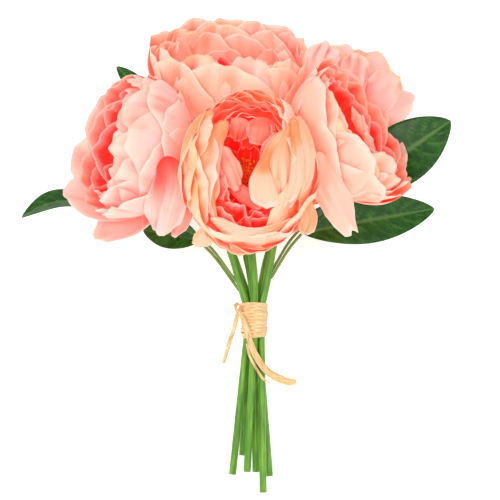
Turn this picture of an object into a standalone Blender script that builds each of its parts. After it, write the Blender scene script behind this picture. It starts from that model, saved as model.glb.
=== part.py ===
"""A bunch of six cut peonies tied with raffia, laid down on its back.

The bunch is built standing, in its own frame: X runs across it, Y along the stems towards the
heads, and Z out of its front. One empty then lays it down, so that it rests on its two back heads
and on the cut ends of its stems. Lengths are in millimetres until new_object() makes them metres.
"""

import math

import bmesh
import bpy
from mathutils import Matrix, Vector

MM = 0.001

# How the bunch lies: the turns that lay it on its back, and the shift that centres it on the origin.
LAY_PITCH = 20.9239
LAY_ROLL = 0.4361
LAY_SHIFT = Vector((8.3825, -1.57, 60.552))

CLEARANCE = 0.35

# Stems
STEM_SIDES_RESOLUTION = 2
STEM_RADIUS_LOW = 2.35
STEM_RADIUS_HIGH = 2.55

# The tie: where the raffia holds the stems, and the ring of stems inside it
TIE_CENTRE_X = 2.7
TIE_BOTTOM_Y = -57.5
TIE_TOP_Y = -34.0
RING_RADIUS_BOTTOM = 5.0
RING_RADIUS_TOP = 5.55
RAFFIA_THICKNESS = 0.75
RAFFIA_WINDINGS = 6

# Flower heads: each whorl stands for several layers of petals, so it is as thick as they are together
GUARD_THICKNESS = 1.6
OUTER_THICKNESS = 4.0
MIDDLE_THICKNESS = 4.6
INNER_THICKNESS = 3.0
BASE_RADIUS = 6.0
CALYX_HEIGHT = 6.0

# Leaves
LEAF_THICKNESS = 0.9
PETIOLE_RADIUS = 1.15

UP = Vector((0.0, 1.0, 0.0))
BACK = Vector((0.0, 0.0, -1.0))

# name: (centre, axis, cup radius, the way its azimuth 0 points, azimuth of its first petal, open sides)
# An open side is (azimuth, how far the guard petals fall open there from 0 to 1, its half width).
FLOWERS = {
    "front": ((-1, 49, 75), (0.05, 0.25, 0.97), 42.0, UP, 20, [(180, 0.35, 50)]),
    "left": ((-75, 64, 32), (-0.82, 0.27, 0.50), 41.0, UP, 0, [(150, 0.85, 65)]),
    "right": ((64, 73, 27), (0.77, 0.50, 0.39), 41.0, UP, 10, [(212, 0.75, 45)]),
    "top": ((-13, 115, -12), (0.05, 0.93, 0.36), 44.0, BACK, 30, [(0, 0.25, 70)]),
    "back_left": ((-72, 72, -52), (-0.60, 0.30, -0.74), 41.0, UP, 15, [(20, 0.0, 40)]),
    "back_right": ((64, 97, -58), (0.50, 0.55, -0.67), 43.0, UP, 40, [(20, 0.2, 60)]),
}

# name: (cut end, ring angle in the tie, direction above the tie, handle below the head)
STEMS = {
    "front": ((-1.9, -143.5, 4.5), 90, (0.03, 1.0, 0.12), 26),
    "left": ((-11.4, -145.6, 2.0), 162, (-0.30, 1.0, 0.03), 18),
    "right": ((8.5, -157.0, 4.5), 18, (0.24, 1.0, 0.03), 20),
    "top": ((3.9, -144.3, -1.5), None, (-0.09, 1.0, -0.10), 30),
    "back_left": ((-4.9, -133.9, -6.0), 234, (-0.30, 1.0, -0.16), 18),
    "back_right": ((12.7, -147.5, -6.0), 306, (0.10, 1.0, -0.14), 22),
}
ABOVE_TIE_HANDLE = 38.0

# name: (stem it grows from, how far up that stem, base of the blade, tip, half width, arch, facing)
# The arch lifts the middle of the blade along facing, which is the way its upper face looks.
LEAVES = {
    "right_lower": ("right", 0.645, (34, 11, 3), (121, 27, -11), 15.2, 5.0, (0.0, 0.10, 1.0)),
    "right_inner": ("right", 0.665, (33, 14, -5), (53, 29, -20), 7.0, 3.0, (0.3, -0.4, 0.9)),
    "right_upper": ("back_right", 0.72, (66, 38, -24), (132, 85, -15), 20.0, 5.0, (0.1, 0.2, 1.0)),
    "left_lower": ("left", 0.57, (-33, 6, -5), (-70, 13, -9), 9.5, 4.0, (0.0, 0.15, 1.0)),
    "left_inner": ("left", 0.60, (-33, 9, 4), (-57, 22, 0), 6.0, 3.0, (-0.2, -0.5, 0.9)),
    "left_outer": ("back_left", 0.66, (-86, 20, -20), (-149, 21, -3), 11.0, 28.0, (0.0, 0.80, 0.6)),
    "top_left": ("top", 0.80, (-52, 82, -12), (-88, 121, -18), 8.0, 2.0, (0.2, 0.35, 0.9)),
    "back_low": ("back_left", 0.60, (-14, 2, -30), (-26, 42, -70), 12.0, 5.0, (0.1, -0.7, -0.7)),
    "back_side": ("back_right", 0.64, (28, 18, -32), (66, 28, -70), 12.0, 5.0, (0.2, -0.7, -0.6)),
}

COLOURS = {
    "petal_pale": ((0.93, 0.55, 0.44), 0.62),
    "petal_peach": ((0.95, 0.50, 0.36), 0.62),
    "petal_coral": ((0.93, 0.22, 0.16), 0.60),
    "stamen_gold": ((0.95, 0.42, 0.05), 0.70),
    "sepal_green": ((0.22, 0.36, 0.10), 0.60),
    "stem_green": ((0.16, 0.36, 0.06), 0.42),
    "leaf_green": ((0.04, 0.16, 0.04), 0.45),
    "raffia_straw": ((0.86, 0.64, 0.36), 0.70),
}


def clear_scene():
    for old in list(bpy.data.objects):
        bpy.data.objects.remove(old)


def material(name):
    """The Principled material of that name, made the first time it is asked for."""
    found = bpy.data.materials.get(name)
    if found:
        return found
    colour, roughness = COLOURS[name]
    made = bpy.data.materials.new(name)
    made.use_nodes = True
    shader = made.node_tree.nodes["Principled BSDF"]
    shader.inputs["Base Color"].default_value = (*colour, 1.0)
    shader.inputs["Roughness"].default_value = roughness
    shader.inputs["Metallic"].default_value = 0.0
    return made


def new_object(name, data, material_name, parent):
    data.materials.append(material(material_name))
    made = bpy.data.objects.new(name, data)
    bpy.context.scene.collection.objects.link(made)
    made.parent = parent
    return made


def new_mesh(name, points, faces, material_name, parent):
    """A mesh object from points in millimetres, its faces turned outwards."""
    data = bpy.data.meshes.new(name)
    data.from_pydata([Vector(p) * MM for p in points], [], faces)
    shape = bmesh.new()
    shape.from_mesh(data)
    bmesh.ops.recalc_face_normals(shape, faces=shape.faces[:])
    shape.to_mesh(data)
    shape.free()
    data.shade_smooth()
    data.set_sharp_from_angle(angle=math.radians(40))
    return new_object(name, data, material_name, parent)


def new_tube(name, points, radii, resolution, material_name, parent):
    """A round tube along points, with a radius at each, from a bevelled curve with filled caps."""
    data = bpy.data.curves.new(name, "CURVE")
    data.dimensions = "3D"
    data.bevel_depth = MM
    data.bevel_resolution = resolution
    data.use_fill_caps = True
    spline = data.splines.new("POLY")
    spline.points.add(len(points) - 1)
    for spot, place, radius in zip(spline.points, points, radii):
        spot.co = (*(Vector(place) * MM), 1.0)
        spot.radius = radius
    return new_object(name, data, material_name, parent)


def bezier(start, start_handle, end_handle, end, count):
    """count + 1 points along a cubic Bezier curve."""
    found = []
    for step in range(count + 1):
        t = step / count
        s = 1 - t
        found.append(
            start * s**3 + start_handle * 3 * s * s * t + end_handle * 3 * s * t * t + end * t**3
        )
    return found


def smooth_path(keys, per_span):
    """Points along a Catmull-Rom curve through keys."""
    keys = [2 * keys[0] - keys[1], *keys, 2 * keys[-1] - keys[-2]]
    found = []
    for a, b, c, d in zip(keys, keys[1:], keys[2:], keys[3:]):
        for step in range(per_span):
            t = step / per_span
            found.append(
                0.5 * (2 * b + (c - a) * t + (2 * a - 5 * b + 4 * c - d) * t * t
                       + (3 * b - a - 3 * c + d) * t**3)
            )
    return [*found, keys[-2]]


def loft(rings, closed_ends=True):
    """Points and faces of a closed body through rings of equally many points, listed anticlockwise
    as seen from the last ring."""
    count = len(rings[0])
    points = [p for ring in rings for p in ring]
    faces = []
    for row in range(len(rings) - 1):
        for k in range(count):
            a = row * count + k
            b = row * count + (k + 1) % count
            faces.append((a, b, b + count, a + count))
    if closed_ends:
        faces.append(tuple(reversed(range(count))))
        faces.append(tuple(range(len(points) - count, len(points))))
    return points, faces


# ---- Flower heads ----


def head_frame(flower):
    """A matrix from a head's own frame to the bunch's: its origin is where the petals grow, its Z is
    the head's axis, and its X is azimuth 0."""
    centre, axis, radius, top = flower[:4]
    w = Vector(axis).normalized()
    x = (top - w * top.dot(w)).normalized()
    y = w.cross(x)
    base = Vector(centre) - w * (radius - BASE_RADIUS)
    return Matrix((
        (x.x, y.x, w.x, base.x),
        (x.y, y.y, w.y, base.y),
        (x.z, y.z, w.z, base.z),
        (0, 0, 0, 1),
    ))


def openness(azimuth, open_sides):
    """How far the guard petals fall open at this azimuth, from 0 to 1."""
    share = 0.0
    for middle, amount, half_width in open_sides:
        away = abs((azimuth - middle + 180) % 360 - 180) / half_width
        if away < 1:
            share += amount * (0.5 + 0.5 * math.cos(math.pi * away))
    return share


def rim_share(azimuth, petals, first, notch):
    """How far up the rim reaches at this azimuth: 1 at a petal's tip, less between two petals."""
    return 1 - notch * (0.5 - 0.5 * math.cos(math.radians(petals * (azimuth - first)))) ** 2


def cup(petals, per_petal, rows, first, notch, floor, thickness, across, along, turn, open_sides=()):
    """One whorl of petals, grown together at the foot: a cup with a lobed rim, in the head's frame.

    Its wall follows a quarter ellipse out and then curls in, across wide and along high, until it
    has turned by turn degrees. Where it falls open the ellipse is larger and turns less.
    """
    around = petals * per_petal
    foot = BASE_RADIUS - 0.5
    outside = [[] for _ in range(rows + 1)]
    inside = [[] for _ in range(rows + 1)]
    for k in range(around):
        azimuth = first + 360 * k / around
        fall = openness(azimuth, open_sides)
        wide = across * (1 + 0.62 * fall)
        high = along * (1 + 0.30 * fall)
        full = math.radians(turn * (1 - 0.36 * fall) * rim_share(azimuth, petals, first, notch))
        direction = Vector((math.cos(math.radians(azimuth)), math.sin(math.radians(azimuth)), 0))
        for row in range(rows + 1):
            angle = full * row / rows
            place = direction * (foot + wide * math.sin(angle)) + Vector(
                (0, 0, floor + high * (1 - math.cos(angle)))
            )
            normal = direction * (high * math.sin(angle)) - Vector(
                (0, 0, wide * math.cos(angle))
            )
            outside[row].append(place)
            inside[row].append(place - normal.normalized() * thickness)
    return loft([*outside, *reversed(inside)])


def tuft(floor, foot, spread, height, count):
    """The stamens and carpels as one close dome."""
    rings = []
    for share, reach in ((0.0, foot), (0.55, spread), (0.85, spread * 0.86), (1.0, spread * 0.5)):
        ring = []
        for k in range(count):
            angle = 2 * math.pi * k / count
            ring.append(Vector((
                math.cos(angle) * reach, math.sin(angle) * reach, floor + height * share
            )))
        rings.append(ring)
    return loft(rings)


def calyx(sepals, first):
    """The green foot that carries the petals: a short neck that opens into pointed sepals."""
    top = -CLEARANCE
    around = sepals * 2
    rings = []
    for height, reach, point in (
        (top - CALYX_HEIGHT, 3.2, 0.0),
        (top - CALYX_HEIGHT * 0.55, 4.4, 0.0),
        (top - 1.4, 8.5, 4.5),
        (top - 0.6, 8.7, 4.7),
        (top, 5.0, 0.0),
    ):
        ring = []
        for k in range(around):
            angle = math.radians(first + 360 * k / around)
            far = reach + (point if k % 2 == 0 else -point * 0.35)
            ring.append(Vector((math.cos(angle) * far, math.sin(angle) * far, height)))
        rings.append(ring)
    return loft(rings)


def build_head(name, flower, parent):
    """The calyx, four whorls of petals and the stamens of one flower."""
    radius, first, open_sides = flower[2], flower[4], flower[5]
    frame = head_frame(flower)
    reach = radius - BASE_RADIUS
    outer_floor = GUARD_THICKNESS + CLEARANCE
    middle_floor = outer_floor + OUTER_THICKNESS + CLEARANCE
    inner_floor = middle_floor + MIDDLE_THICKNESS + CLEARANCE
    stamen_floor = inner_floor + INNER_THICKNESS + CLEARANCE
    pieces = {
        "calyx": (calyx(5, first), "sepal_green"),
        "guard_petals": (
            cup(5, 4, 5, first, 0.20, 0.0, GUARD_THICKNESS, reach, reach, 118, open_sides),
            "petal_pale"),
        "outer_petals": (
            cup(5, 3, 5, first + 36, 0.12, outer_floor, OUTER_THICKNESS,
                reach * 0.86, reach * 0.90, 136),
            "petal_pale"),
        "middle_petals": (
            cup(5, 3, 4, first + 10, 0.14, middle_floor, MIDDLE_THICKNESS,
                reach * 0.66, reach * 0.68, 132),
            "petal_peach"),
        "inner_petals": (
            cup(4, 3, 3, first + 50, 0.18, inner_floor, INNER_THICKNESS,
                reach * 0.33, reach * 0.52, 104),
            "petal_coral"),
        "stamens": (tuft(stamen_floor, 4.0, 6.5, 12.0, 12), "stamen_gold"),
    }
    for piece, ((points, faces), colour) in pieces.items():
        new_mesh(f"{name}_{piece}", [frame @ p for p in points], faces, colour, parent)


# ---- Stems ----


def ring_place(angle, height):
    """Where a stem stands in the tie at this height. The middle stem has no angle."""
    share = (height - TIE_BOTTOM_Y) / (TIE_TOP_Y - TIE_BOTTOM_Y)
    reach = RING_RADIUS_BOTTOM + share * (RING_RADIUS_TOP - RING_RADIUS_BOTTOM)
    if angle is None:
        return Vector((TIE_CENTRE_X, height, 0))
    turned = math.radians(angle)
    return Vector((TIE_CENTRE_X + reach * math.cos(turned), height, reach * math.sin(turned)))


def stem_path(name):
    """The centre line of a stem, from its cut end through the tie to just under its calyx."""
    cut_end, ring_angle, direction, handle = STEMS[name]
    head = head_frame(FLOWERS[name])
    axis = head.to_3x3() @ Vector((0, 0, 1))
    top = head @ Vector((0, 0, -CALYX_HEIGHT - 2 * CLEARANCE))
    low = ring_place(ring_angle, TIE_BOTTOM_Y)
    high = ring_place(ring_angle, TIE_TOP_Y)
    below = smooth_path([Vector(cut_end), low.lerp(Vector(cut_end), 0.5), low], 2)
    neck = top - axis * 2.5
    above = bezier(
        high, high + Vector(direction).normalized() * ABOVE_TIE_HANDLE, neck - axis * handle, neck, 9
    )
    return [*below, low.lerp(high, 0.5), *above, top]


def build_stem(name, parent):
    path = stem_path(name)
    radii = [STEM_RADIUS_LOW if p.y < TIE_TOP_Y - 1 else STEM_RADIUS_HIGH for p in path]
    new_tube(f"{name}_stem", path, radii, STEM_SIDES_RESOLUTION, "stem_green", parent)


def along(path, share):
    """The point at this share of a path's length, and the direction there."""
    lengths = [(b - a).length for a, b in zip(path, path[1:])]
    left = share * sum(lengths)
    for a, b, length in zip(path, path[1:], lengths):
        if left <= length:
            return a.lerp(b, left / length), (b - a).normalized()
        left -= length
    return path[-1], (path[-1] - path[-2]).normalized()


# ---- Leaves ----


def leaf_section(place, side, normal, half_width, half_thickness, fold):
    """Eight points round a leaf's section: a rounded stalk where it is narrow, a folded blade where
    it is wide."""
    ring = []
    for across, above in (
        (-1, 0), (-0.55, -1), (0, -1), (0.55, -1), (1, 0), (0.55, 1), (0, 1), (-0.55, 1)
    ):
        lift = above * half_thickness + fold * abs(across) * half_width
        ring.append(place + side * (across * half_width) + normal * lift)
    return ring


def build_leaf(name, parent):
    """A stalk and its blade as one solid, from just outside the stem to the tip."""
    stem, share, base, tip, half_width, arch, facing = LEAVES[name]
    base, tip, facing = Vector(base), Vector(tip), Vector(facing).normalized()
    joint, stem_direction = along(stem_path(stem), share)
    outward = base - joint
    outward = (outward - stem_direction * outward.dot(stem_direction)).normalized()
    start = joint + outward * (STEM_RADIUS_HIGH + PETIOLE_RADIUS * 0.9 + CLEARANCE)
    start += stem_direction * 2.0
    blade = tip - base
    stalk_bend = start.lerp(base, 0.5) + stem_direction * 3.0
    arch_middle = base.lerp(tip, 0.5) + facing * arch
    path = [start, stalk_bend]
    shares = [-1.0, -0.5]
    blade_rows = 6
    for row in range(blade_rows + 1):
        t = row / blade_rows
        place = base * (1 - t) ** 2 + arch_middle * 2 * t * (1 - t) + tip * t * t
        path.append(place)
        shares.append(t)
    rings = []
    for k, (place, t) in enumerate(zip(path, shares)):
        ahead = path[min(k + 1, len(path) - 1)] - path[max(k - 1, 0)]
        ahead.normalize()
        side = ahead.cross(facing).normalized()
        normal = side.cross(ahead)
        if t < 0:
            rings.append(leaf_section(place, side, normal, PETIOLE_RADIUS, PETIOLE_RADIUS * 0.8, 0))
            continue
        width = PETIOLE_RADIUS + (half_width - PETIOLE_RADIUS) * math.sin(math.pi * t**0.8) ** 0.8
        width *= 1 - 0.35 * max(0.0, t - 0.85) / 0.15
        rings.append(leaf_section(place, side, normal, max(width, 0.5), LEAF_THICKNESS / 2, 0.22))
    points, faces = loft(rings)
    new_mesh(f"{name}_leaf", points, faces, "leaf_green", parent)


# ---- The raffia tie ----


def build_binding(parent):
    """The raffia wound round the stems: a sleeve with a ridge for each winding."""
    around = 20
    inner_low = RING_RADIUS_BOTTOM + STEM_RADIUS_LOW + 1.3 * CLEARANCE
    inner_high = RING_RADIUS_TOP + STEM_RADIUS_HIGH + 1.3 * CLEARANCE
    rows = 2 * RAFFIA_WINDINGS
    rings = []
    for row in range(rows + 1):
        share = row / rows
        ridge = 0.3 if row % 2 else 0.0
        reach = inner_low + (inner_high - inner_low) * share + RAFFIA_THICKNESS + ridge
        rings.append((share, reach))
    rings += [(1.0, inner_high), (0.0, inner_low)]
    shaped = []
    for share, reach in rings:
        height = TIE_BOTTOM_Y + share * (TIE_TOP_Y - TIE_BOTTOM_Y)
        ring = []
        for k in range(around):
            angle = 2 * math.pi * k / around
            slant = 0.12 * reach * math.cos(angle)
            ring.append(Vector((
                TIE_CENTRE_X + reach * math.cos(angle), height + slant, -reach * math.sin(angle)
            )))
        shaped.append(ring)
    points, faces = loft(shaped, closed_ends=False)
    count = len(points)
    for k in range(around):
        ahead = (k + 1) % around
        faces.append((count - around + k, count - around + ahead, ahead, k))
    new_mesh("raffia_binding", points, faces, "raffia_straw", parent)


KNOT_PLACE = Vector((-7.8, -37.3, 5.5))
KNOT_SIZE = Vector((2.3, 3.6, 2.0))

# Each tail's route from the knot, its radius, and how much of it the tube follows
TAILS = {
    "raffia_left_tail": ([
        (-8.3, -40.8, 5.6), (-9.6, -47.5, 5.2), (-11.4, -54.0, 3.6), (-13.8, -61.0, 0.6),
        (-16.0, -67.5, -3.6), (-18.0, -73.5, -8.6),
    ], 1.1),
    "raffia_right_tail": ([
        (-6.2, -41.0, 8.0), (-3.6, -47.0, 11.0), (-1.2, -54.0, 11.4), (0.4, -60.5, 10.6),
        (3.2, -67.5, 10.4), (7.6, -74.5, 10.2), (13.6, -80.4, 8.6), (21.0, -84.2, 4.6),
        (29.4, -86.6, -1.4),
    ], 1.5),
    "raffia_thin_tail": ([
        (-1.85, -60.4, 9.5), (-0.4, -67.6, 9.4), (4.0, -76.0, 9.2), (8.2, -82.4, 7.6),
        (13.4, -86.4, 4.6),
    ], 0.7),
}


def build_knot(parent):
    rings = []
    rows, around = 5, 8
    for row in range(1, rows):
        turned = math.pi * row / rows
        ring = []
        for k in range(around):
            angle = 2 * math.pi * k / around
            ring.append(KNOT_PLACE + Vector((
                KNOT_SIZE.x * math.sin(turned) * math.cos(angle),
                -KNOT_SIZE.y * math.cos(turned),
                -KNOT_SIZE.z * math.sin(turned) * math.sin(angle),
            )))
        rings.append(ring)
    points, faces = loft(rings)
    new_mesh("raffia_knot", points, faces, "raffia_straw", parent)


def build_tails(parent):
    for name, (route, radius) in TAILS.items():
        path = smooth_path([Vector(p) for p in route], 1)
        new_tube(name, path, [radius] * len(path), 2, "raffia_straw", parent)


def main():
    clear_scene()
    laid = bpy.data.objects.new("laid_on_its_back", None)
    bpy.context.scene.collection.objects.link(laid)
    laid.rotation_euler = (math.radians(LAY_PITCH), math.radians(LAY_ROLL), 0)
    laid.location = LAY_SHIFT * MM
    for name, flower in FLOWERS.items():
        build_head(name, flower, laid)
        build_stem(name, laid)
    for name in LEAVES:
        build_leaf(name, laid)
    build_binding(laid)
    build_knot(laid)
    build_tails(laid)


main()
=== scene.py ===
import math

import bpy
import numpy as np
from mathutils import Matrix, Vector


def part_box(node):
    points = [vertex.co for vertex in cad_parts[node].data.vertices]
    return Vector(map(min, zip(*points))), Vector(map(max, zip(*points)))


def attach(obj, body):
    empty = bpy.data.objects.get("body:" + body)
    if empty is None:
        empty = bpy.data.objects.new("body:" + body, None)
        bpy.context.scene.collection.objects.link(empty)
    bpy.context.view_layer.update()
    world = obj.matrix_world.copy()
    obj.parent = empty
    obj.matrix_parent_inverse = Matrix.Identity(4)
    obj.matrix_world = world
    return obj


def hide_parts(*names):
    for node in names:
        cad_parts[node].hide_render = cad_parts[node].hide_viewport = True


# ---- The frame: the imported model, and how the bunch lies on it ----
# The bunch is worked out in its own frame, in millimetres: X across it, Y along the stems towards
# the heads, Z out of its front. LAID turns it onto its back, in metres, as the solids lie.

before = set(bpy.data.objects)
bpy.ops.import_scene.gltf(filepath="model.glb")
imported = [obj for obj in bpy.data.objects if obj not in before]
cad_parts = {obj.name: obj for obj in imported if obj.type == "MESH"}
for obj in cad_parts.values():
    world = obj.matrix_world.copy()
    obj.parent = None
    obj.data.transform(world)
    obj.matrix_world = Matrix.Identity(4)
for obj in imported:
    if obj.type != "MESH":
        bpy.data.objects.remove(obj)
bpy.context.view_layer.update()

MM = 0.001
LAY_PITCH = 20.9239
LAY_ROLL = 0.4361
LAY_SHIFT = Vector((8.3825, -1.57, 60.552))

LAID = (
    Matrix.Translation(LAY_SHIFT * MM)
    @ Matrix.Rotation(math.radians(LAY_ROLL), 4, "Y")
    @ Matrix.Rotation(math.radians(LAY_PITCH), 4, "X")
    @ Matrix.Scale(MM, 4)
)
UNLAID = LAID.inverted()


# ---- Camera ----
# It looks straight down on the front of the bunch, square to the stems. It stands well back with a
# long lens, so that the near heads look hardly larger than the far ones.

CAMERA_DISTANCE = 1300
VIEW_WIDTH = 325
SENSOR_WIDTH = 36
FARTHEST_SEEN = 20

eye = bpy.data.cameras.new("camera")
eye.sensor_width = SENSOR_WIDTH
eye.lens = SENSOR_WIDTH * CAMERA_DISTANCE / VIEW_WIDTH
eye.clip_end = FARTHEST_SEEN
camera = bpy.data.objects.new("camera", eye)
bpy.context.scene.collection.objects.link(camera)
camera.location = LAID @ Vector((0, 0, CAMERA_DISTANCE))
camera.rotation_euler = LAID.to_euler()
bpy.context.scene.camera = camera


# ---- Raffia ends ----
# Three loose ends of the raffia that ties the bunch: dry flat palm fibre, torn into strips, twisted
# and split at their tips. Each leaves the knot, or the strip beside it, and bends over the stems.

# name: (points of its centre line, half its width)
TAILS = {
    "raffia_left_tail": ([
        (-8.3, -40.8, 5.6), (-9.6, -47.5, 5.2), (-11.4, -54.0, 3.6), (-13.8, -61.0, 0.6),
        (-16.0, -67.5, -3.6), (-18.0, -73.5, -8.6),
    ], 1.1),
    "raffia_right_tail": ([
        (-6.2, -41.0, 8.0), (-3.6, -47.0, 11.0), (-1.2, -54.0, 11.4), (0.4, -60.5, 10.6),
        (3.2, -67.5, 10.4), (7.6, -74.5, 10.2), (13.6, -80.4, 8.6), (21.0, -84.2, 4.6),
        (29.4, -86.6, -1.4),
    ], 1.5),
    "raffia_thin_tail": ([
        (-1.85, -60.4, 9.5), (-0.4, -67.6, 9.4), (4.0, -76.0, 9.2), (8.2, -82.4, 7.6),
        (13.4, -86.4, 4.6),
    ], 0.7),
}


def rgb(text):
    """A colour as a painter reads it, six hexadecimal digits, as the linear values a shader takes."""
    parts = [int(text[k:k + 2], 16) / 255 for k in (0, 2, 4)]
    return (*[p / 12.92 if p <= 0.04045 else ((p + 0.055) / 1.055) ** 2.4 for p in parts], 1.0)


class Shading:
    """A material under construction: short ways to add and join its nodes."""

    def __init__(self, name, roughness, **fixed):
        self.made = bpy.data.materials.new(name)
        self.made.use_nodes = True
        self.tree = self.made.node_tree
        self.shader = self.tree.nodes["Principled BSDF"]
        self.shader.inputs["Roughness"].default_value = roughness
        for socket, value in fixed.items():
            self.shader.inputs[socket.replace("_", " ")].default_value = value

    def node(self, kind, inputs=(), **settings):
        made = self.tree.nodes.new("ShaderNode" + kind)
        for name, value in settings.items():
            setattr(made, name, value)
        for name, value in dict(inputs).items():
            self.feed(made.inputs[name], value)
        return made

    def feed(self, socket, value):
        if isinstance(value, bpy.types.NodeSocket):
            self.tree.links.new(value, socket)
        else:
            socket.default_value = value

    def attribute(self, name):
        return self.node("Attribute", attribute_name=name).outputs

    def math(self, operation, *values, clamp=False):
        made = self.node("Math", operation=operation, use_clamp=clamp)
        for socket, value in zip(made.inputs, values):
            self.feed(socket, value)
        return made.outputs[0]

    def noise(self, vector, scale, detail=3.0, roughness=0.5, distortion=0.0):
        return self.node("TexNoise", {
            "Vector": vector, "Scale": scale, "Detail": detail, "Roughness": roughness,
            "Distortion": distortion,
        }).outputs["Fac"]

    def stretch(self, vector, scale):
        return self.node("Mapping", {"Vector": vector, "Scale": scale}).outputs["Vector"]

    def ramp(self, value, stops):
        made = self.node("ValToRGB", {"Fac": value})
        points = made.color_ramp.elements
        while len(points) < len(stops):
            points.new(0.5)
        for point, (place, colour) in zip(points, stops):
            point.position = place
            point.color = colour if len(colour) == 4 else rgb(colour)
        return made.outputs["Color"]

    def mix(self, share, a, b, blend="MIX"):
        made = self.node("Mix", data_type="RGBA", blend_type=blend)
        self.feed(made.inputs["Factor"], share)
        self.feed(made.inputs[6], a)
        self.feed(made.inputs[7], b)
        return made.outputs[2]

    def finish(self, colour, roughness=None, height=None, strength=0.3, distance=0.0003):
        self.feed(self.shader.inputs["Base Color"], colour)
        if roughness is not None:
            self.feed(self.shader.inputs["Roughness"], roughness)
        if height is not None:
            bump = self.node("Bump", {"Strength": strength, "Distance": distance, "Height": height})
            self.feed(self.shader.inputs["Normal"], bump.outputs["Normal"])
        return self.made


def raffia_finish():
    """Dry palm fibre: long fine streaks of straw and honey, with a dull sheen."""
    shading = Shading("raffia", 0.6, Sheen_Weight=0.15)
    place = shading.node("UVMap").outputs["UV"]
    streak = shading.noise(shading.stretch(place, (7.0, 0.5, 1.0)), 3.0, 5.0, 0.7)
    fibre = shading.noise(shading.stretch(place, (34.0, 0.8, 1.0)), 3.0, 3.0, 0.6)
    both = shading.math("ADD", shading.math("MULTIPLY", streak, 0.6),
                        shading.math("MULTIPLY", fibre, 0.4))
    colour = shading.ramp(both, [
        (0.38, "B47C34"), (0.46, "E8B86E"), (0.53, "FADCA4"), (0.62, "FFF2D4"),
    ])
    rough = shading.math("MULTIPLY_ADD", both, 0.3, 0.42)
    return shading.finish(colour, rough, both, 0.6, 0.0004)


RAFFIA = raffia_finish()


def smooth_route(keys, per_span):
    """Points along a Catmull-Rom curve through keys."""
    keys = [Vector(k) for k in keys]
    keys = [2 * keys[0] - keys[1], *keys, 2 * keys[-1] - keys[-2]]
    found = []
    for a, b, c, d in zip(keys, keys[1:], keys[2:], keys[3:]):
        for step in range(per_span):
            t = step / per_span
            found.append(
                0.5 * (2 * b + (c - a) * t + (2 * a - 5 * b + 4 * c - d) * t * t
                       + (3 * b - a - 3 * c + d) * t**3)
            )
    return [*found, keys[-2]]


def travelling_frames(path, first_side):
    """A side and a normal at each point of a path, turned as little as they can be on the way."""
    sides, normals = [], []
    side = Vector(first_side)
    for k in range(len(path)):
        ahead = (path[min(k + 1, len(path) - 1)] - path[max(k - 1, 0)]).normalized()
        side = (side - ahead * side.dot(ahead)).normalized()
        sides.append(side)
        normals.append(ahead.cross(side))
    return sides, normals


# What comes within this height of the floor lies against it, flattened, and never passes through.
# However low it would hang, it stays this share of that height clear.
RESTING = 1.0 * MM
CLEAR = 0.2


class Sheaf:
    """Points, faces, UVs and painted values gathered from many strips into one mesh."""

    def __init__(self):
        self.points, self.faces, self.uvs, self.paint = [], [], [], {}
        self.count = 0

    def grid(self, points, uv, closed_round=False, flip=False, **paint):
        """Adds a grid of points, rows by columns, with its UVs and painted values."""
        points = np.asarray(points, float)
        rows, columns = points.shape[:2]
        index = self.count + np.arange(rows * columns).reshape(rows, columns)
        if closed_round:
            index = np.concatenate([index, index[:, :1]], 1)
        quads = np.stack(
            [index[:-1, :-1], index[:-1, 1:], index[1:, 1:], index[1:, :-1]], -1
        ).reshape(-1, 4)
        self.faces.append(quads[:, ::-1] if flip else quads)
        self.points.append(points.reshape(-1, 3))
        self.uvs.append(np.asarray(uv, float).reshape(-1, 2))
        for name, value in paint.items():
            value = np.broadcast_to(np.asarray(value, float), (rows, columns))
            self.paint.setdefault(name, []).append(value.reshape(-1))
        self.count += rows * columns

    def piece(self, name, finish, node, laid=LAID):
        """The gathered mesh as a piece that rides on the bunch and stands for one of its solids."""
        data = bpy.data.meshes.new(name)
        turned = np.array(laid)
        points = np.concatenate(self.points) @ turned[:3, :3].T + turned[:3, 3]
        near = points[:, 2] < RESTING
        sunk = (points[near, 2] / RESTING - 1) / (1 - CLEAR)
        points[near, 2] = RESTING * (CLEAR + (1 - CLEAR) * np.exp(sunk))
        faces = np.concatenate(self.faces)
        data.from_pydata(points.tolist(), [], faces.tolist())
        layer = data.uv_layers.new(name="UVMap")
        uvs = np.concatenate(self.uvs)
        corners = np.empty(len(data.loops), np.int32)
        data.loops.foreach_get("vertex_index", corners)
        layer.data.foreach_set("uv", uvs[corners].reshape(-1))
        for label, values in self.paint.items():
            painted = data.attributes.new(label, "FLOAT", "POINT")
            painted.data.foreach_set("value", np.concatenate(values))
        data.shade_smooth()
        data.materials.append(finish)
        made = bpy.data.objects.new(name, data)
        bpy.context.scene.collection.objects.link(made)
        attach(made, "root")
        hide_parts(node)
        return made


# How a strip varies: the share by which its width wavers, and in millimetres how much it crinkles;
# and how far its lower skin laps up at its edges, as a share of its thickness
STRIP_POINTS_ACROSS = 6
STRIP_WAVER = 0.12
STRIP_CRINKLE = 0.10
STRIP_EDGE_LAP = 0.6


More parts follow.
